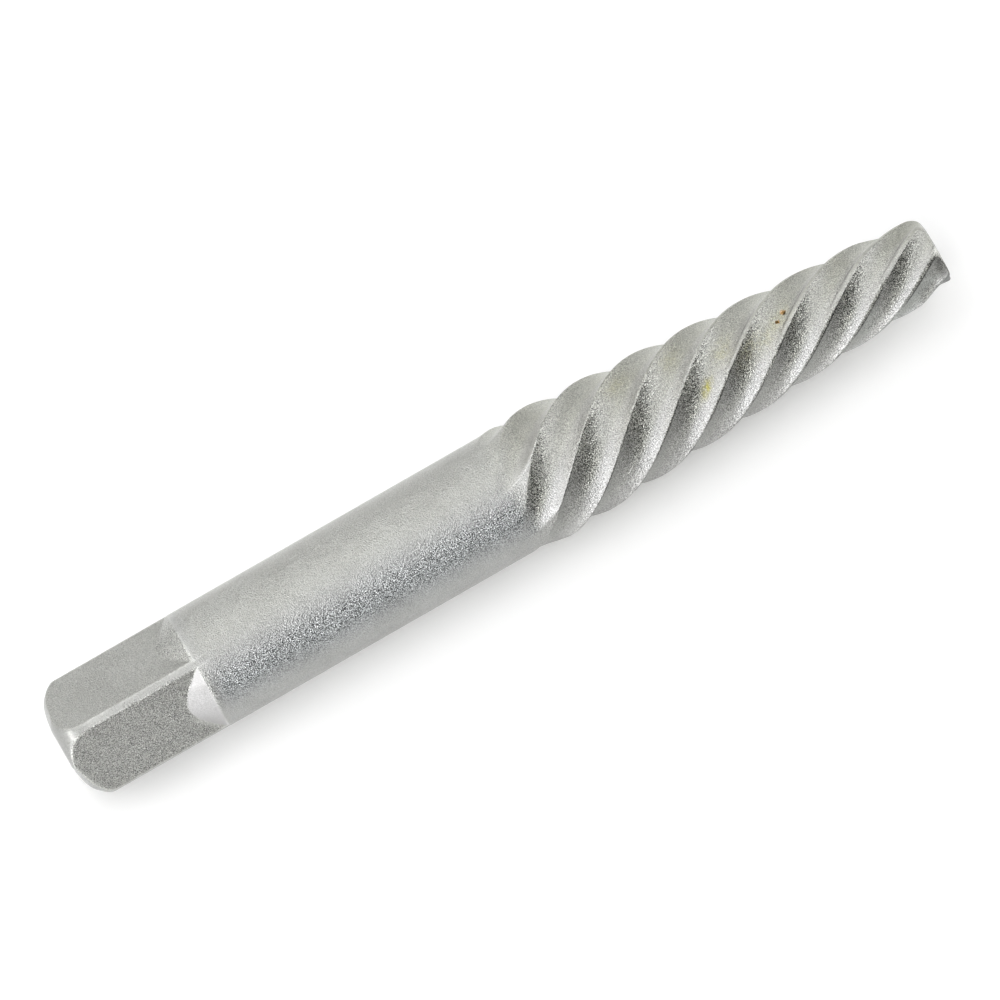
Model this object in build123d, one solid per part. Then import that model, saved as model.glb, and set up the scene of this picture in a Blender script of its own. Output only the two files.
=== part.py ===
from build123d import *
from math import cos, degrees, pi, radians, sin
import os

# Spiral screw extractor, one piece of tool steel, in millimetres.
# The axis is X. The drive end's face is at x = 0 and the tip at x = overall_length.
# Angles round the axis are measured from +Z towards +Y, before the tool is turned to lie.

# Whole tool
overall_length = 85.7
shank_diameter = 10.8

# Square drive end, cut from the round shank so that its corners keep narrow round lands
across_flats = 8.1
square_length = 13.3
square_turn = 6.5

# Shoulder: its slope to the axis where it meets the shank, and the radius of its slight hollow
shoulder_angle = 32.5
shoulder_hollow_radius = 30.0

# Rounded drive end: the round's length, how far it bulges past a cone, and the flat that it leaves
end_round_length = 2.15
end_round_bulge = 0.47
end_face_diameter = 7.4

# Spiral ridges on a cone that starts at the end of a short flare and narrows to the tip
ridge_count = 7
ridge_lead = 35.7
ridge_turn = -33.9
spiral_length = 38.9
flare_length = 2.55
widest_diameter = 11.66
taper_on_diameter = 0.1248
tip_round = 0.8

# Hollow flutes between the ridges, which run out into the shank and leave narrow lands
flute_depth_share = 0.13
land_at_shank = 0.12
land_at_tip = 0.45
runout_length = 4.2
runout_rise_length = 2.6
runout_clearance = 0.05
flute_step = 1.0

# The whole tool is turned about its axis to lie on two ridges and the edge of its shoulder
lying_turn = 22.5

# How far a cutting solid passes the surface that it cuts, and a flute's arc its own edges
overshoot = 1.0
arc_overrun = 1.6

shank_radius = shank_diameter / 2
widest_radius = widest_diameter / 2
widest_station = overall_length - spiral_length
flare_start = widest_station - flare_length
runout_start = widest_station - runout_length


def across_axis(angle):
    """Unit vector at right angles to the axis."""
    return (0, sin(angle), cos(angle))


def ridge_radius(x):
    """Radius of the cone on which the ridges lie."""
    return widest_radius - taper_on_diameter / 2 * (x - widest_station)


def ridge_angle(x):
    """Angle of the first ridge at a station, growing towards the tip: a left-hand spiral."""
    return radians(ridge_turn) + 2 * pi * (x - widest_station) / ridge_lead


def flute_angle(x):
    """Angle of the first flute's middle at a station."""
    return ridge_angle(x) + pi / ridge_count


def blank():
    """The round blank: rounded drive end, shank, flare, long taper and rounded tip."""
    face_edge = (0, end_face_diameter / 2)
    round_edge = (end_round_length, shank_radius)
    end_round = SagittaArc(face_edge, round_edge, end_round_bulge)
    outline = Polyline(
        round_edge,
        (flare_start, shank_radius),
        (widest_station, widest_radius),
        (overall_length, ridge_radius(overall_length)),
        (overall_length, 0),
        (0, 0),
        face_edge,
    )
    profile = make_face(outline + end_round)
    tip_corner = profile.vertices().sort_by(Axis.X)[-2:].sort_by(Axis.Y)[-1]
    # Its faces close on the line where a flute starts, so no flute crosses that line aslant there
    seam_turn = pi / 2 - flute_angle(runout_start)
    return Rot(X=degrees(seam_turn)) * revolve(fillet(tip_corner, tip_round), Axis.X)


def square_with_shoulder():
    """What the square's cutting keeps: a square bar, and a hollow cone in which each flat runs out."""
    slope = radians(shoulder_angle)
    centre_station = square_length - shoulder_hollow_radius * sin(slope)
    centre_radius = shank_radius + shoulder_hollow_radius * cos(slope)

    def shoulder_station(radius):
        """Where the shoulder's hollow arc reaches a radius."""
        return centre_station + (shoulder_hollow_radius**2 - (centre_radius - radius) ** 2) ** 0.5

    inner_radius = across_flats / 2 - overshoot
    outer_radius = max(widest_radius, shank_radius) + overshoot
    inner_end = (shoulder_station(inner_radius), inner_radius)
    outer_end = (shoulder_station(outer_radius), outer_radius)
    shoulder = ThreePointArc(inner_end, (square_length, shank_radius), outer_end)
    rest = Polyline(
        outer_end,
        (overall_length + overshoot, outer_radius),
        (overall_length + overshoot, 0),
        (shoulder_station(inner_radius), 0),
        inner_end,
    )
    cone = revolve(make_face(shoulder + rest), Axis.X)
    bar_plane = Plane(
        origin=(-overshoot, 0, 0),
        x_dir=across_axis(radians(square_turn + 45)),
        z_dir=(1, 0, 0),
    )
    bar_length = shoulder_station(outer_radius) + 2 * overshoot
    bar = extrude(bar_plane * Rectangle(across_flats, across_flats), bar_length)
    return bar + cone


def flute_lift(x):
    """How far a flute is raised at a station: a wheel's arc, from clear of the shank to full depth."""
    share = min(max((x - runout_start) / runout_rise_length, 0), 1)
    root_at_start = ridge_radius(runout_start) * (1 - flute_depth_share)
    return (shank_radius + runout_clearance - root_at_start) * (1 - share) ** 2


def flute_section(x):
    """A flute across the axis: a hollow arc through the edges of two lands, closed outside."""
    radius = ridge_radius(x)
    along = (x - widest_station) / spiral_length
    land = land_at_shank + (land_at_tip - land_at_shank) * along
    half_angle = pi / ridge_count - land / 2 / radius
    root = radius * (1 - flute_depth_share)
    centre = (radius**2 - root**2) / 2 / (radius * cos(half_angle) - root)
    arc_radius = centre - root
    half_width = radius * sin(half_angle) * arc_overrun
    edge = centre - (arc_radius**2 - half_width**2) ** 0.5
    lift = flute_lift(x)
    hollow = ThreePointArc((edge + lift, -half_width), (root + lift, 0), (edge + lift, half_width))
    outside = Polyline(
        hollow @ 1,
        (radius + lift + overshoot, half_width),
        (radius + lift + overshoot, -half_width),
        hollow @ 0,
    )
    plane = Plane(origin=(x, 0, 0), x_dir=across_axis(flute_angle(x)), z_dir=(1, 0, 0))
    return plane * make_face(hollow + outside)


def flute():
    """One flute as a solid to cut away, lofted along the spiral from the shank past the tip."""
    length = overall_length + overshoot - runout_start
    steps = round(length / flute_step)
    return loft([flute_section(runout_start + length * i / steps) for i in range(steps + 1)])


body = blank()
first_flute = flute()
for i in range(ridge_count):
    body -= Rot(X=360 / ridge_count * i) * first_flute
screw_extractor = Rot(X=lying_turn) * (body & square_with_shoulder())

os.makedirs("parts", exist_ok=True)
export_step(screw_extractor, "parts/screw_extractor.step")
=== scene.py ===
import math

import bpy
import numpy as np
from mathutils import Matrix, Vector


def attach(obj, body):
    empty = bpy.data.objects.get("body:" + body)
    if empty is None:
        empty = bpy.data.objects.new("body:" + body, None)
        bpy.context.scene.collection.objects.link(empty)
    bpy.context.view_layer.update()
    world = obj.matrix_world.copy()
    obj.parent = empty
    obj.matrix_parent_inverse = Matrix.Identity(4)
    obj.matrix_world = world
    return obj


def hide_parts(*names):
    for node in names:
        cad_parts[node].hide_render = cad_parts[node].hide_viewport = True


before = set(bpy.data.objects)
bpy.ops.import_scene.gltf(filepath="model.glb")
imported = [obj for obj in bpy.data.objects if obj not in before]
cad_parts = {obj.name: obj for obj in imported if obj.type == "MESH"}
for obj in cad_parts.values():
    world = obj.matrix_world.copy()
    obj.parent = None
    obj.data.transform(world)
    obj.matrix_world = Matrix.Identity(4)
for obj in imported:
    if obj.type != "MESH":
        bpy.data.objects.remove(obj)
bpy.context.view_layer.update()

# Sizes in millimetres and angles in degrees, as in the part's source.
# Angles round the tool's axis run from +Z towards +Y, before the tool is turned to lie.
LENGTH = 85.7
SHANK_R = 5.4
LYING_TURN = 22.5

# Drive end: the flats' distance from the axis, the hollow cone they run out in, and the end's round
FLAT = 4.05
SQUARE_LENGTH = 13.3
SQUARE_TURN = 6.5
SHOULDER_ANGLE, SHOULDER_HOLLOW = 32.5, 30.0
END_ROUND, END_BULGE, END_FACE_R = 2.15, 0.47, 3.7

# Spiral ridges on a cone, and the hollow flutes between them
RIDGES = 7
LEAD = 35.7
RIDGE_TURN = -33.9
WIDEST, WIDEST_R = 46.8, 5.83
FLARE_START = 44.25
TAPER = 0.0624
DEPTH_SHARE = 0.13
LAND_SHANK, LAND_TIP = 0.12, 0.45
RUNOUT_START, RUNOUT_RISE, RUNOUT_CLEARANCE = 42.6, 2.6, 0.05
TIP_ROUND = 0.8

# Wear, which the part's source leaves out: how wide the edges of the body, the shoulder, the square
# and the ridges are rounded
BODY_EDGE, SHOULDER_EDGE, SQUARE_EDGE, RIDGE_EDGE = 0.12, 0.10, 0.14, 0.045
# The drive end's round where it makes the tool's outline in the picture: its length, and how deep
# its bend and its last turn into the end face are
WORN_ROUND, WORN_BEND, WORN_FACE = 2.2, 1.97, 1.5
# The tip's round is tighter on the side that is low in the picture and longer on the other, and
# the stretch behind it is slimmer on both
TIP_TIGHTER, TIP_LONGER = 0.55, 0.50
SLIMMER_ABOVE, SLIMMER_BELOW = 0.18, 0.38

TURN = 2 * np.pi
STEP = TURN / RIDGES
# A station on the plain shank between the two ends' shapes, and a radius past everything
MID_SHANK = 20.0
FAR = 99.0


def smooth(a, b, x):
    """0 at a, 1 at b, easing between."""
    t = np.clip((x - a) / (b - a), 0, 1)
    return t * t * (3 - 2 * t)


def bell(value, middle, width):
    return np.exp(-((value - middle) / width) ** 2)


def soft_min(a, b, k):
    """The lesser of two, rounded over a band of width k."""
    h = np.clip(0.5 + 0.5 * (b - a) / k, 0, 1)
    return b + (a - b) * h - k * h * (1 - h)


def soft_max(a, b, k):
    return -soft_min(-a, -b, k)


def off_nearest(angle, step):
    """Angle from the nearest of the lines that stand a step apart."""
    return (angle + step / 2) % step - step / 2


def lattice(cell, seed):
    """A fixed value from 0 to 1 for each whole-numbered point."""
    n = cell[..., 0] * 374761393 + cell[..., 1] * 668265263 + cell[..., 2] * 2147483647
    n = (n + seed * 1274126177) & 0xFFFFFFFF
    n = ((n ^ (n >> 13)) * 1274126177) & 0xFFFFFFFF
    return ((n ^ (n >> 16)) & 0xFFFF) / 65535.0


def noise(p, size, seed):
    """Smooth noise from -1 to 1 over points in millimetres."""
    q = p / size
    cell = np.floor(q).astype(np.int64)
    f = q - cell
    f = f * f * (3 - 2 * f)
    total = 0
    for corner in np.ndindex(2, 2, 2):
        weight = 1
        for axis, upper in enumerate(corner):
            weight = weight * (f[..., axis] if upper else 1 - f[..., axis])
        total = total + weight * lattice(cell + np.array(corner), seed)
    return 2 * total - 1


# The tool's shape, as a radius at each station and angle
def ridge_radius(x):
    return WIDEST_R - TAPER * (x - WIDEST)


def ridge_angle(x):
    return np.radians(RIDGE_TURN) + TURN * (x - WIDEST) / LEAD


def land_width(x):
    share = np.clip((x - WIDEST) / (LENGTH - WIDEST), -0.2, 1)
    return LAND_SHANK + (LAND_TIP - LAND_SHANK) * share


def end_round(x):
    """How far the drive end's round lies inside the shank: an arc that bulges past its chord."""
    chord = math.hypot(END_ROUND, SHANK_R - END_FACE_R)
    radius = chord**2 / 8 / END_BULGE + END_BULGE / 2
    out_x, out_r = -(SHANK_R - END_FACE_R) / chord, END_ROUND / chord
    centre_x = END_ROUND / 2 - out_x * (radius - END_BULGE)
    centre_r = (END_FACE_R + SHANK_R) / 2 - out_r * (radius - END_BULGE)
    arc = np.sqrt(np.maximum(radius**2 - (x - centre_x) ** 2, 0))
    return np.where(x < END_ROUND, SHANK_R - centre_r - arc, 0)


def worn_end_round(x):
    """The same depth where the drive end is worn rounder."""
    to_end = np.clip(1 - x / WORN_ROUND, 0, 1)
    return WORN_BEND * to_end**1.6 + WORN_FACE * to_end**10


def envelope(x, theta):
    """Radius of the round blank, whose drive end is worn rounder on two opposite sides."""
    flare = SHANK_R + (WIDEST_R - SHANK_R) * (x - FLARE_START) / (WIDEST - FLARE_START)
    body = soft_min(soft_max(SHANK_R, flare, BODY_EDGE), ridge_radius(x), BODY_EDGE)
    worn = smooth(0.45, 0.85, np.abs(np.sin(theta)))
    return body - end_round(x) * (1 - worn) - worn_end_round(x) * worn


def tip_round(x, theta):
    """Radius left by the tip's round, which is tighter on one side and worn on the other."""
    depth = TIP_ROUND - TIP_TIGHTER * smooth(-0.35, -0.80, np.sin(theta))
    length = depth + TIP_LONGER * smooth(0.60, 0.95, np.sin(theta))
    share = np.clip((x - LENGTH + length) / length, 0, 1)
    return np.where(share > 0, ridge_radius(x) - depth * (1 - np.sqrt(1 - share**2)), FAR)


def flat_and_cone(x, theta):
    """The flats, and the hollow cone of the shoulder in which they run out."""
    slope = math.radians(SHOULDER_ANGLE)
    centre_x = SQUARE_LENGTH - SHOULDER_HOLLOW * math.sin(slope)
    centre_r = SHANK_R + SHOULDER_HOLLOW * math.cos(slope)
    past_centre = np.clip(x - centre_x, 0, SHOULDER_HOLLOW * 0.95)
    cone = centre_r - np.sqrt(np.maximum(SHOULDER_HOLLOW**2 - past_centre**2, 0))
    cone = np.where(x > SQUARE_LENGTH + 3, FAR, cone)
    off = off_nearest(theta - math.radians(SQUARE_TURN + 45), np.pi / 2)
    return FLAT / np.cos(off), cone


def flute(x, theta):
    """The hollow flutes: the radius of their arcs, which rise out of the shank at one end."""
    outer = ridge_radius(x)
    half = STEP / 2 - land_width(x) / 2 / outer
    root = outer * (1 - DEPTH_SHARE)
    centre = (outer**2 - root**2) / 2 / (outer * np.cos(half) - root)
    arc = centre - root
    lift = SHANK_R + RUNOUT_CLEARANCE - ridge_radius(RUNOUT_START) * (1 - DEPTH_SHARE)
    centre = centre + lift * (1 - np.clip((x - RUNOUT_START) / RUNOUT_RISE, 0, 1)) ** 2
    off = off_nearest(theta - (ridge_angle(x) + STEP / 2), STEP)
    inside = arc**2 - (centre * np.sin(off)) ** 2
    found = centre * np.cos(off) - np.sqrt(np.maximum(inside, 0))
    return np.where((x > RUNOUT_START) & (inside > 0), found, FAR)


def surface(x, theta):
    """Radius of the finished tool, with its wear."""
    blank, side = envelope(x, theta), np.sin(theta)
    square = soft_min(blank, soft_max(*flat_and_cone(x, theta), SHOULDER_EDGE), SQUARE_EDGE)
    r = np.where(x > MID_SHANK, np.minimum(blank, tip_round(x, theta)), square)
    fluted = soft_min(r, flute(x, theta), RIDGE_EDGE)
    fluted = fluted - SLIMMER_ABOVE * smooth(79.5, 82.0, x) * smooth(0.55, 0.90, side)
    fluted = fluted - SLIMMER_BELOW * smooth(82.2, 84.4, x) * smooth(-0.60, -0.92, side)
    return np.where(x > RUNOUT_START, fluted, r)


# The mesh: a row of points at each station along the tool. Its columns follow the square's edges
# at one end and the ridges at the other, and ease from those to these between two stations.
SEGMENTS = 224
EASE_FROM, EASE_TO = 16.0, 41.0
# Radii of the rings that close the flat ends, as shares of the first and last row's
DRIVE_RINGS = (0.06, 0.3, 0.6, 0.85, 0.96)
TIP_RINGS = (0.97, 0.85, 0.6, 0.3, 0.06)


def spread(marks, end):
    """Values from mark to mark: [(value, steps to the next), ...] and the last value."""
    values = []
    for (a, n), (b, _) in zip(marks, marks[1:] + [(end, 0)]):
        values += [a + (b - a) * i / n for i in range(n)]
    return values + [end]


def square_row():
    """Angles round the square, from corner to corner, with more at the edges of the lands."""
    land = 45 - math.degrees(math.acos(FLAT / SHANK_R))
    quarter = spread(
        [(0, 2), (land - 0.8, 4), (land + 0.8, 4), (land + 5, 18), (45, 18), (85 - land, 4),
         (90 - land - 0.8, 4), (90 - land + 0.8, 2)],
        90,
    )
    return np.radians([SQUARE_TURN + 90 * q + a for q in range(4) for a in quarter[:-1]])


def flute_row(x):
    """Angles round the flutes, from ridge to ridge, with more at the edges of the lands."""
    half_land = land_width(x) / 2 / ridge_radius(x)
    edge = 0.06 / ridge_radius(x)
    right = spread(
        [(0, 1), (half_land - edge * 0.5, 1), (half_land, 1), (half_land + edge, 2),
         (half_land + 4 * edge, 11)],
        STEP / 2,
    )
    left = [STEP - a for a in right[1:-1]][::-1]
    return np.array([ridge_angle(x) + STEP * i + a for i in range(RIDGES) for a in right + left])


def from_column(angles, first):
    """The row's angles from the given one on, still growing past a full turn."""
    rolled = np.roll(angles, -first)
    rolled[SEGMENTS - first:] += TURN
    return rolled


square_angles = square_row()
start = flute_row(RUNOUT_START)
assert len(square_angles) == len(start) == SEGMENTS
shift = int(np.argmin(np.abs(off_nearest(start - square_angles[0], TURN))))
start = from_column(start, shift)
start -= TURN * round((start[0] - square_angles[0]) / TURN)


def row(x):
    """Angles at a station: the square's, eased into the flutes', which turn with the spiral."""
    if x < RUNOUT_START:
        share = smooth(EASE_FROM, EASE_TO, x)
        return square_angles * (1 - share) + start * share
    angles = from_column(flute_row(x), shift)
    expected = start[0] + TURN * (x - RUNOUT_START) / LEAD
    return angles + TURN * round((expected - angles[0]) / TURN)


stations = spread(
    [(0.0, 26), (2.4, 14), (9.6, 8), (10.4, 44), (13.9, 30), (42.0, 6), (42.6, 48), (47.6, 148),
     (84.5, 12), (85.3, 10)],
    85.66,
)
theta = np.array([row(x) for x in stations])
x = np.repeat(np.array(stations)[:, None], SEGMENTS, axis=1)
r = surface(x, theta)
r = np.vstack([np.outer(DRIVE_RINGS, r[0]), r, np.outer(TIP_RINGS, r[-1])])
x = np.pad(x, ((len(DRIVE_RINGS), 0), (0, 0)), constant_values=0.0)
x = np.pad(x, ((0, len(TIP_RINGS)), (0, 0)), constant_values=LENGTH)
theta = np.pad(theta, ((len(DRIVE_RINGS), len(TIP_RINGS)), (0, 0)), mode="edge")

lying = math.radians(LYING_TURN)
turned = theta - lying
points = np.stack([x, r * np.sin(turned), r * np.cos(turned)], axis=-1)

rows, cols = x.shape
verts = (points.reshape(-1, 3) / 1000).tolist()
faces = []
for i in range(rows - 1):
    for j in range(cols):
        k = (j + 1) % cols
        faces.append((i * cols + j, (i + 1) * cols + j, (i + 1) * cols + k, i * cols + k))
tip_hub, drive_hub = len(verts), len(verts) + 1
verts += [(LENGTH / 1000, 0, 0), (0, 0, 0)]
for j in range(cols):
    k = (j + 1) % cols
    faces.append((drive_hub, j, k))
    faces.append((tip_hub, (rows - 1) * cols + k, (rows - 1) * cols + j))


def add_object(name, data):
    """An object in the scene with the given mesh, camera or light."""
    added = bpy.data.objects.new(name, data)
    bpy.context.scene.collection.objects.link(added)
    return added


mesh = bpy.data.meshes.new("tool_body")
mesh.from_pydata(verts, [], faces)
mesh.polygons.foreach_set("use_smooth", [True] * len(mesh.polygons))
mesh.update()
tool = add_object("tool_body", mesh)
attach(tool, "root")
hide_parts("screw_extractor")


# Marks of making and use, and painted light and shade, kept on the mesh for its material.
# Directions are those before the tool was turned to lie, and the underside has the marks of the
# upper side.
def unturned(y, z):
    """A sideways and an upward part, as they were before the tool was turned to lie."""
    return y * math.cos(lying) + z * math.sin(lying), z * math.cos(lying) - y * math.sin(lying)


normals = np.empty(len(mesh.vertices) * 3)
mesh.vertices.foreach_get("normal", normals)
nx, ny, nz = normals.reshape(-1, 3).T
ny, nz = unturned(ny, nz)
ny = np.where(nz < 0, -ny, ny)
ny_grid = ny[:-2].reshape(x.shape)
mm = np.array(verts) * 1000
along = mm[:, 0]


def at_vertices(values, tip=0.0, drive=0.0):
    """Values over the rows and columns as one list over the vertices, with the two hubs' last."""
    return np.append(values.reshape(-1), [tip, drive])


def grid_noise(size, seed):
    """Noise over the rows and columns."""
    return noise(mm, size, seed)[:-2].reshape(x.shape)


def facing(middle_x, width_x, middle_y, width_y):
    """Near 1 where the surface faces about this way along and across the tool."""
    return bell(nx, middle_x, width_x) * bell(ny, middle_y, width_y)


# The drive end. Flats are numbered round the tool, and number 3 is the lower one in the picture.
side = np.sin(theta)
on_square = smooth(14.5, 13.5, x)
flat_number = np.floor((theta - math.radians(SQUARE_TURN)) / (np.pi / 2)).astype(int) % 4
flat, cone = flat_and_cone(x, theta)
blank_r = envelope(x, theta)
flat_gap = flat - blank_r
ragged = grid_noise(0.22, 5)
on_land = on_square * smooth(-0.03, 0.03, np.maximum(flat, cone) - blank_r + 0.035 * ragged)
in_scoop = on_square * smooth(0.0, 0.05, cone - flat) * (1 - on_land)
on_flat = on_square * (1 - on_land) * (1 - in_scoop)
flat_tone = np.array([-0.08, -0.08, -0.10, -0.08])[flat_number] * on_flat
scoop_ground = np.array([0.0, 0.8, 0.3, 1.0])[flat_number] * in_scoop
# Masks for painted highlights along the flats' rims and rounded ends, the shoulder's edge and the
# lower scoop's foot
rim = on_square * bell(flat_gap, 0.0, 0.07)
end_rim = on_square * (1 - on_land) * smooth(-0.20, -0.05, flat_gap) * smooth(2.6, 1.8, x)
end_rim *= flat_number % 2
shoulder_edge = on_square * bell(cone - blank_r, 0.0, 0.05) * smooth(0.1, -0.2, flat_gap)
crumbs = on_flat * bell(flat_gap, -0.16, 0.12) * (flat_number == 3)
crumbs *= smooth(-0.30, -0.60, side) * smooth(-0.62, -0.40, side)
scoop_foot = on_flat * bell(cone - flat, -0.12, 0.22) * (flat_number == 3)
scoop_foot *= smooth(-0.71, -0.87, side)
from_corner = off_nearest(theta - math.radians(SQUARE_TURN), np.pi / 2)

# The ridges: the distance round the tool from the middle of the nearest ridge's land. Upward is
# up in the picture.
from_ridge = off_nearest(theta - ridge_angle(x), STEP) * ridge_radius(x)
half_land = land_width(x) / 2
upward = side * np.sign(np.cos(theta))
upper_side = smooth(-0.12, 0.12, upward)
# Masks for a painted highlight on the lands of the upper side, and for painted shade lines along
# the lands' edges
ridge_land = smooth(58.0, 68.0, x) * smooth(-half_land - 0.03, -half_land + 0.05, from_ridge)
ridge_land *= smooth(half_land + 0.24, half_land + 0.10, from_ridge) * upper_side
at_ridge = smooth(43.5, 46.0, x) * bell(np.abs(from_ridge), half_land, 0.10)
upper_line = smooth(64.0, 70.0, x) * bell(from_ridge, half_land + 0.24, 0.055)
upper_line *= upper_side * smooth(0.85, 0.60, upward)
lower_line = smooth(45.5, 48.0, x) * bell(from_ridge, -half_land + 0.01, 0.06)
lower_line *= smooth(-0.02, -0.25, ny_grid)
uneven_shade_line = smooth(-0.5, 0.2, grid_noise(1.1, 12))
broken = smooth(-0.6, 0.2, grid_noise(1.6, 9))

# How much lighter or darker each mark makes the steel: its wear, and painted highlights and shade
tone_and_painted_light = np.ones(x.shape)
for mark in (
    flat_tone,
    # The corner lands brighten towards the end and darken on its round
    on_land * (0.04 + 0.06 * smooth(9.0, 2.4, x) - 0.22 * smooth(2.7, 2.0, x)),
    # Painted highlight along the flats' rims, which are also worn smooth
    0.30 * rim * (1 + 0.6 * ragged),
    # Painted light on the ground scoops by the way they face, and painted shade on the other scoops
    scoop_ground * (0.12 - 0.16 * smooth(-0.62, -0.30, ny_grid)
                    + 0.34 * smooth(-0.30, -0.12, ny_grid)),
    -0.08 * (in_scoop - scoop_ground),
    # Painted highlight on the shoulder's edge, brightest beside each corner
    shoulder_edge * (0.10 + 0.40 * bell(from_corner, 0.19, 0.14)),
    # Painted highlight at each corner's apex, where the two rims meet its land
    0.50 * bell(x, 1.18, 0.22) * smooth(0.13, 0.07, np.abs(from_corner)),
    # Painted highlights along the rounded ends of every other flat and at the lower scoop's foot,
    # and darker crumbs on the lower flat
    0.50 * end_rim + 0.30 * scoop_foot - 0.10 * crumbs,
    # Painted shade in thin lines along both edges of the ridges' lands, with a painted highlight on
    # the smooth lands between
    -(0.22 + 0.30 * uneven_shade_line) * upper_line,
    0.09 * ridge_land,
    -(0.80 + 0.13 * smooth(62.0, 70.0, x)) * lower_line * broken,
    # Painted highlight where the topmost ridge ends
    0.85 * bell(x, 85.42, 0.20) * bell(from_ridge, 0.0, 0.25) * smooth(0.90, 0.97, np.cos(theta)),
):
    tone_and_painted_light *= 1 + mark
tone_and_painted_light = at_vertices(tone_and_painted_light, tip=1.0, drive=0.9)

# Painted light and shade, by the way the surface faces
fluted = at_vertices(smooth(43.0, 45.5, x), tip=1.0)
near_tip = smooth(83.8, 84.9, along)
runout = smooth(43.2, 44.4, along) * smooth(49.5, 47.0, along)
bright_flank = np.maximum(fluted, at_vertices(in_scoop)) * facing(-0.38, 0.27, -0.58, 0.30)
flank_gain = 0.20 - 0.09 * fluted - 0.35 * near_tip
flank_gain += 0.33 * smooth(57.0, 74.0, along) + 0.18 * smooth(66.0, 76.0, along)
for mark in (
    # Painted shade where the surface faces down, more on the flutes
    -0.16 * smooth(-0.30, -0.60, ny)
    - 0.07 * fluted * smooth(-0.50, -0.70, ny) * smooth(0.35, 0.10, nx),
    # Painted shade on the flanks that face the tip, and painted light on those that face the drive
    # end
    -fluted * (0.37 * facing(0.37, 0.30, -0.63, 0.28) + 0.12 * facing(0.22, 0.22, -0.42, 0.20)),
    bright_flank * flank_gain,
    # Smaller painted differences of light and shade on the upper flanks
    fluted * (0.14 * smooth(-0.33, -0.45, nx) * smooth(0.1, 0.3, ny)
              + 0.18 * facing(0.28, 0.22, 0.03, 0.15)),
    # Painted shade on the tip's round below, and painted light on the run-outs' flanks
    -0.30 * smooth(84.7, 85.2, along) * smooth(-0.20, -0.50, ny),
    0.25 * runout * facing(-0.42, 0.25, -0.50, 0.28),
):
    tone_and_painted_light *= 1 + mark

# How strong the grain is: the blasting's own, with painted glints and shade where it follows the
# way the surface faces. Most in a band along the shank and on the flanks that face the same way,
# and least on worn and ground places
grain_and_glint = 0.34 + 1.66 * bell(ny, -0.37, 0.25)
grain_and_glint *= 1 - 0.08 * at_vertices(smooth(43.0, 41.0, x))
grain_and_glint *= 1 - 0.79 * fluted * smooth(0.08, -0.15, nx) * bell(ny, -0.30, 0.44)
grain_and_glint += fluted * (
    0.20
    + 0.22 * smooth(0.02, 0.20, nx) * bell(ny, -0.18, 0.25)
    + 0.25 * smooth(-0.55, -0.80, ny)
    + 0.5 * facing(0.50, 0.15, -0.20, 0.40)
    + 0.25 * facing(-0.45, 0.15, 0.45, 0.30)
)
grain_and_glint += at_vertices(
    0.2 * at_ridge + 0.8 * crumbs + 0.1 * on_flat + 0.5 * (in_scoop - scoop_ground)
)
polished = np.maximum(np.maximum(on_land, rim), np.maximum(end_rim, scoop_foot))
grain_and_glint *= at_vertices((1 - 0.6 * polished) * (1 - 0.65 * ridge_land), tip=1.0, drive=1.0)
grain_and_glint *= (1 - 0.4 * near_tip) * (1 - 0.5 * runout * smooth(0.0, -0.3, nx))
ground = at_vertices(scoop_ground)
grain_and_glint *= 1 - 0.85 * ground

# Colour: painted tints of reflected light, by the way the surface faces: the shank is cooler low
# down and the flutes' dark sides are warmer, with yellow-brown patches on the ridges
shank = at_vertices(smooth(13.5, 14.5, x) * smooth(45.5, 43.0, x))
patch = np.clip(noise(mm, 3.1, 21) * 0.6 + noise(mm, 1.3, 22) * 0.4 + 0.1, 0, 1)
bright_side = smooth(0.0, -0.26, nx)
less_red = 0.028 * shank * bell(ny, -0.45, 0.28) - 0.014 * ground - 0.008 * fluted * bright_side
less_red += 0.02 * smooth(72.0, 80.0, along) * smooth(-0.65, -0.90, ny)
blue = shank * (
    0.046 * smooth(0.38, -0.18, ny)
    + 0.012 * bell(ny, -0.38, 0.25)
    - 0.022 * smooth(-0.60, -0.90, ny)
)
blue += at_vertices(0.052 * scoop_ground + 0.02 * on_land + 0.012 * ridge_land)
blue += fluted * (
    0.042 * bright_side * smooth(0.65, 0.0, ny) * (1 - 0.4 * smooth(-0.30, -0.60, ny))
    - (1 - bright_side) * (0.036 * bell(ny, -0.33, 0.25) + 0.040 * smooth(0.15, 0.65, ny))
    - 0.034 * patch * smooth(-0.10, 0.15, ny) * (1 - 0.7 * bright_side)
)
tint = np.stack([tone_and_painted_light * (1 - less_red), tone_and_painted_light, tone_and_painted_light * (0.985 + blue), np.ones(len(tone_and_painted_light))], axis=-1)

# Stains on the upper side, as looked at from above: strength, middle along and across the tool,
# half length, half width and turn
STAINS = (
    (1.10, 62.71, -0.64, 0.85, 0.36, 42),
    (0.30, 65.4, 1.5, 1.2, 0.8, 35),
    (0.22, 56.0, 3.4, 1.3, 0.6, 10),
    (0.20, 61.1, 3.0, 1.3, 0.7, 20),
    (0.28, 67.2, 0.3, 1.6, 0.6, 35),
    (0.30, 71.2, 1.5, 1.2, 0.7, 30),
    (0.22, 69.2, 0.4, 1.3, 0.6, 35),
)
beside, height = unturned(mm[:, 1], mm[:, 2])


def stain(middle_x, middle_y, length, width, turn):
    a = math.radians(turn)
    u = (along - middle_x) * math.cos(a) + (beside - middle_y) * math.sin(a)
    v = (beside - middle_y) * math.cos(a) - (along - middle_x) * math.sin(a)
    return np.exp(-(u / length) ** 2 - (v / width) ** 2) * (height > 0)


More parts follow.
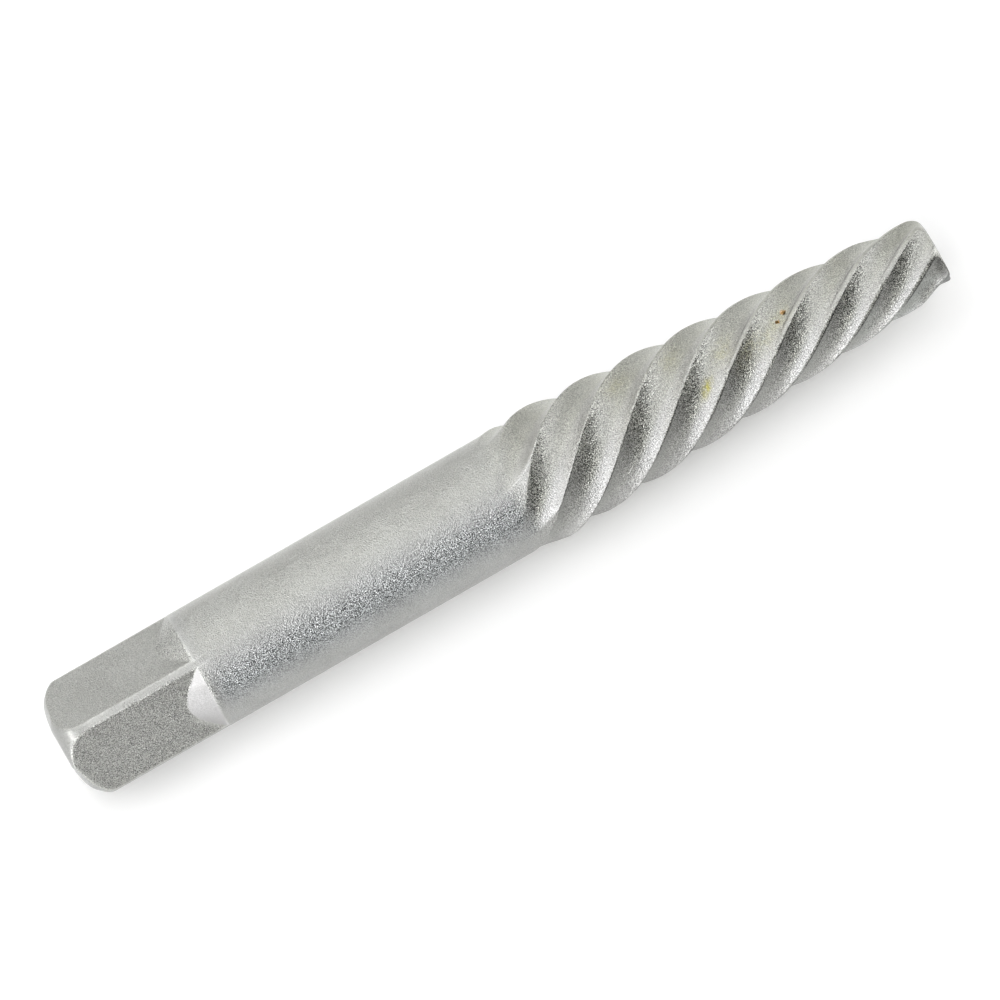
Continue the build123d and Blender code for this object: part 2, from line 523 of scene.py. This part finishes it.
yellow = sum(strength * stain(*place) for strength, *place in STAINS)
for name, kind, field, values in (
    ("tone_and_painted_light", "FLOAT_COLOR", "color", tint),
    ("grain_and_glint", "FLOAT", "value", grain_and_glint),
    ("ground", "FLOAT", "value", ground),
    ("yellow", "FLOAT", "value", yellow),
):
    attribute = mesh.attributes.new(name, kind, "POINT")
    attribute.data.foreach_set(field, values.astype(np.float32).reshape(-1))


class Nodes:
    """Short ways to add a material's shader nodes and join them."""

    def __init__(self, name):
        self.material = bpy.data.materials.new(name)
        self.material.use_nodes = True
        self.tree = self.material.node_tree
        self.bsdf = self.tree.nodes["Principled BSDF"]

    def add(self, kind, inputs, **props):
        """A node with its settings, and values or other nodes' outputs on its inputs."""
        node = self.tree.nodes.new(kind)
        for key, value in props.items():
            setattr(node, key, value)
        for key, value in inputs.items():
            if isinstance(value, bpy.types.NodeSocket):
                self.tree.links.new(value, node.inputs[key])
            else:
                node.inputs[key].default_value = value
        return node

    def math(self, op, a, b, clamp=False):
        return self.add("ShaderNodeMath", {0: a, 1: b}, operation=op, use_clamp=clamp).outputs[0]

    def vector(self, op, inputs, output="Vector"):
        return self.add("ShaderNodeVectorMath", inputs, operation=op).outputs[output]

    def range(self, value, a, b, c, d, kind="LINEAR"):
        """From the range a to b to the range c to d."""
        inputs = {0: value, 1: a, 2: b, 3: c, 4: d}
        return self.add("ShaderNodeMapRange", inputs, interpolation_type=kind).outputs[0]

    def mix(self, share, a, b):
        return self.add("ShaderNodeMix", {0: share, 6: a, 7: b}, data_type="RGBA").outputs[2]

    def noise(self, vector, scale, detail, rough):
        inputs = {"Vector": vector, "Scale": scale, "Detail": detail, "Roughness": rough}
        return self.add("ShaderNodeTexNoise", inputs).outputs[0]

    def attribute(self, name, output="Fac"):
        return self.add("ShaderNodeAttribute", {}, attribute_name=name).outputs[output]


def on_top(at_x, at_y):
    """The point of the upper side at a place given as looked at from above, in metres."""
    radius = SHANK_R
    for _ in range(6):
        angle = np.arcsin(at_y / radius)
        radius = float(surface(np.float64(at_x), angle))
    angle = angle - lying
    return at_x / 1000, radius * math.sin(angle) / 1000, radius * math.cos(angle) / 1000


# Scales of the surface's grain and of the steel's uneven colour, in features per metre
GRAIN, SPECKLE = 8500.0, 11000.0
CLOUDS, BLOTCHES = 260.0, 2600.0
DARK_STEEL, LIGHT_STEEL = (0.463, 0.465, 0.447, 1), (0.496, 0.50, 0.482, 1)
YELLOW_STAIN = (0.40, 0.37, 0.11, 1)
BARE_METAL = (0.95, 0.95, 0.93, 1)
RUST = (0.44, 0.24, 0.07, 1)
# Two rust spots: place as looked at from above, size in millimetres and colour. Each has a halo
# and a dark core, and the larger one a light fleck, which is a painted highlight.
RUST_SPOTS = (
    (71.57, 1.74, 0.28, RUST),
    (70.77, 1.24, 0.19, RUST),
    # The larger spot's painted highlight
    (71.49, 1.88, 0.10, (0.85, 0.58, 0.38, 1)),
    (71.63, 1.64, 0.20, (0.035, 0.024, 0.010, 1)),
    (70.72, 1.27, 0.12, (0.055, 0.035, 0.012, 1)),
)
# Where a spot starts to fade and where it is gone, in metres per millimetre of its size
SPOT_FULL, SPOT_GONE = 0.00055, 0.00115
# A small bright scratch, and a bright line along the edge of a flute's run-out: points as looked at
# from above, half width in metres, and strength
BRIGHT_LINES = (
    (((52.85, -3.64), (53.48, -3.60), (53.99, -3.25)), 0.00004, 0.85),
    (((43.93, 0.25), (45.13, 0.64), (45.95, 1.05), (46.82, 1.72), (47.89, 2.69)), 0.00005, 0.28),
)
# How deep the pits' shade and relief are, and the blasted and the ground steel's finish
PIT_SHADE, DARKEST_PIT = 0.75, 0.08
RELIEF_DEPTH = 0.00006
METALLIC = 0.95
BLASTED_ROUGH, GROUND_ROUGH = 0.32, 0.60
BLASTED_RELIEF, GROUND_RELIEF = 1.0, 0.15

steel = Nodes("blasted_steel")
where = steel.add("ShaderNodeTexCoord", {}).outputs["Object"]
tone_and_painted_light = steel.attribute("tone_and_painted_light", "Color")
grain_and_glint, ground, yellow = (steel.attribute(name) for name in ("grain_and_glint", "ground", "yellow"))
cells = steel.add("ShaderNodeTexVoronoi", {"Vector": where, "Scale": GRAIN, "Randomness": 1.0})
grain = steel.noise(where, GRAIN, 1.0, 0.5)
speckle = steel.noise(where, SPECKLE, 1.0, 0.5)
cloud = steel.noise(where, CLOUDS, 3.0, 0.55)
blotch = steel.noise(where, BLOTCHES, 2.0, 0.6)

# The steel's own colour, then the stains, rust spots and bright lines on it
base = steel.mix(steel.range(cloud, 0.35, 0.65, 0.0, 1.0, "SMOOTHSTEP"), DARK_STEEL, LIGHT_STEEL)
uneven = steel.range(blotch, 0.32, 0.62, 0.25, 1.0, "SMOOTHSTEP")
base = steel.mix(steel.math("MULTIPLY", yellow, uneven, clamp=True), base, YELLOW_STAIN)
for at_x, at_y, size, colour in RUST_SPOTS:
    away = steel.vector("DISTANCE", {0: where, 1: on_top(at_x, at_y)}, "Value")
    away = steel.math("ADD", away, steel.range(blotch, 0.3, 0.7, -0.00012, 0.00012))
    spot = steel.range(away, size * SPOT_FULL, size * SPOT_GONE, 0.9, 0.0, "SMOOTHSTEP")
    base = steel.mix(spot, base, colour)
for places, half_width, strength in BRIGHT_LINES:
    line = [Vector(on_top(*place)) for place in places]
    for begin, end in zip(line, line[1:]):
        run = end - begin
        offset = steel.vector("SUBTRACT", {0: where, 1: begin})
        share = steel.vector("DOT_PRODUCT", {0: offset, 1: run / run.length_squared}, "Value")
        share = steel.math("ADD", share, 0.0, clamp=True)
        nearest = steel.vector("SCALE", {0: run, "Scale": share})
        away = steel.vector("DISTANCE", {0: offset, 1: nearest}, "Value")
        drawn = steel.range(away, half_width * 0.5, half_width * 1.5, strength, 0.0, "SMOOTHSTEP")
        base = steel.mix(drawn, base, BARE_METAL)
base = steel.vector("MULTIPLY", {0: base, 1: tone_and_painted_light})

# The pits of the blasting, as specks in the colour; their strength also carries painted glints and
# shade
pits = steel.range(speckle, 0.30, 0.70, -1.0, 1.0)
shade = steel.math("MULTIPLY", pits, steel.math("MULTIPLY", grain_and_glint, PIT_SHADE))
shade = steel.math("MAXIMUM", steel.math("ADD", shade, 1.0), DARKEST_PIT)
base = steel.vector("MULTIPLY", {0: base, 1: shade})
relief = steel.math("ADD", steel.math("MULTIPLY", cells.outputs["Distance"], 0.5), grain)
relief_strength = steel.range(ground, 0.0, 1.0, BLASTED_RELIEF, GROUND_RELIEF)
bump = steel.add(
    "ShaderNodeBump", {"Strength": relief_strength, "Distance": RELIEF_DEPTH, "Height": relief}
)
roughness = steel.range(ground, 0.0, 1.0, BLASTED_ROUGH, GROUND_ROUGH)
for output, socket in ((base, "Base Color"), (roughness, "Roughness"), (bump.outputs[0], "Normal")):
    steel.tree.links.new(output, steel.bsdf.inputs[socket])
steel.bsdf.inputs["Metallic"].default_value = METALLIC
mesh.materials.append(steel.material)

# Floor: a wide square under the tool's lowest point
HALF_FLOOR = 3.0
lowest = float(points[..., 2].min()) / 1000
floor_mesh = bpy.data.meshes.new("floor")
floor_mesh.from_pydata(
    [(HALF_FLOOR * i, HALF_FLOOR * j, lowest) for i, j in ((-1, -1), (1, -1), (1, 1), (-1, 1))],
    [],
    [(0, 1, 2, 3)],
)
floor = add_object("floor", floor_mesh)
paper = Nodes("floor_paper")
for socket, value in (
    ("Base Color", (0.9, 0.9, 0.9, 1)),
    ("Roughness", 0.9),
    ("Specular IOR Level", 0.1),
    ("Emission Color", (1, 1, 1, 1)),
    ("Emission Strength", 0.17),
):
    paper.bsdf.inputs[socket].default_value = value
floor_mesh.materials.append(paper.material)

# Camera: the photo's own axes, worked out from the tool's outline
TILT = math.radians(2.3)
IMAGE_TURN = math.radians(29.786)
DISTANCE = 1.37
FRAME_WIDTH = 0.08515
AIM_ALONG, AIM_ACROSS = 0.04289, -0.000153
SENSOR_WIDTH = 36.0


def lie(v):
    """A direction before the tool is turned to lie, as it is after."""
    return Matrix.Rotation(lying, 3, "X") @ Vector(v)


back = lie((-math.sin(TILT), 0, math.cos(TILT)))
lengthwise = lie((math.cos(TILT), 0, math.sin(TILT)))
across = back.cross(lengthwise)
right = lengthwise * math.cos(IMAGE_TURN) - across * math.sin(IMAGE_TURN)
up = lengthwise * math.sin(IMAGE_TURN) + across * math.cos(IMAGE_TURN)
aim = Vector((AIM_ALONG, 0, 0)) + across * AIM_ACROSS
camera_data = bpy.data.cameras.new("camera")
camera_data.sensor_width = SENSOR_WIDTH
camera_data.lens = SENSOR_WIDTH * DISTANCE / FRAME_WIDTH
camera_data.clip_start, camera_data.clip_end = 0.05, 20
camera = add_object("camera", camera_data)
axes = Matrix((right, up, back)).transposed().to_4x4()
camera.matrix_world = Matrix.Translation(aim + back * DISTANCE) @ axes
bpy.context.scene.camera = camera

# Soft light all round: round lamps that face the tool, with power in watts. Directions are right,
# up and towards the camera in the photo's axes.
LAMP_DISTANCE, LAMP_SIZE = 0.9, 0.50
for name, direction, power in (
    ("low", (-0.42, -0.73, 0.53), 3.0),
    ("right_rim", (0.73, 0.64, 0.24), 1.8),
    ("left", (-0.85, 0.00, 0.53), 1.6),
    ("top_left_rim", (-0.55, 0.80, 0.24), 1.6),
    ("near_low", (-0.19, -0.32, 0.93), 1.0),
    ("near_left", (-0.49, 0.41, 0.77), 0.9),
    ("left_rim", (-0.86, 0.45, 0.24), 0.9),
    ("middle", (0.00, 0.00, 1.00), 0.9),
    ("top_rim", (-0.12, 0.96, 0.24), 0.8),
    ("top_right", (0.42, 0.73, 0.53), 0.8),
    ("near_top", (0.32, 0.56, 0.77), 0.75),
    ("near_below", (-0.11, -0.63, 0.77), 0.65),
    ("near_middle", (-0.37, 0.00, 0.93), 0.65),
    ("low_left_rim", (-0.86, -0.45, 0.24), 0.6),
    ("low_left", (-0.73, -0.42, 0.53), 0.6),
    ("near_right", (0.19, 0.32, 0.93), 0.45),
    ("near_upper", (-0.19, 0.32, 0.93), 0.25),
):
    light = bpy.data.lights.new(name, "AREA")
    light.shape = "DISK"
    light.size = LAMP_SIZE
    light.energy = power
    lamp = add_object(name, light)
    towards = (right * direction[0] + up * direction[1] + back * direction[2]).normalized()
    lamp.location = aim + towards * LAMP_DISTANCE
    lamp.rotation_mode = "QUATERNION"
    lamp.rotation_quaternion = towards.to_track_quat("Z", "Y")

# The world itself gives no light
world = bpy.data.worlds.new("world")
bpy.context.scene.world = world
world.use_nodes = True
background = world.node_tree.nodes["Background"]
background.inputs["Color"].default_value = (1, 1, 1, 1)
background.inputs["Strength"].default_value = 0.0
bpy.context.scene.view_settings.view_transform = "Standard"
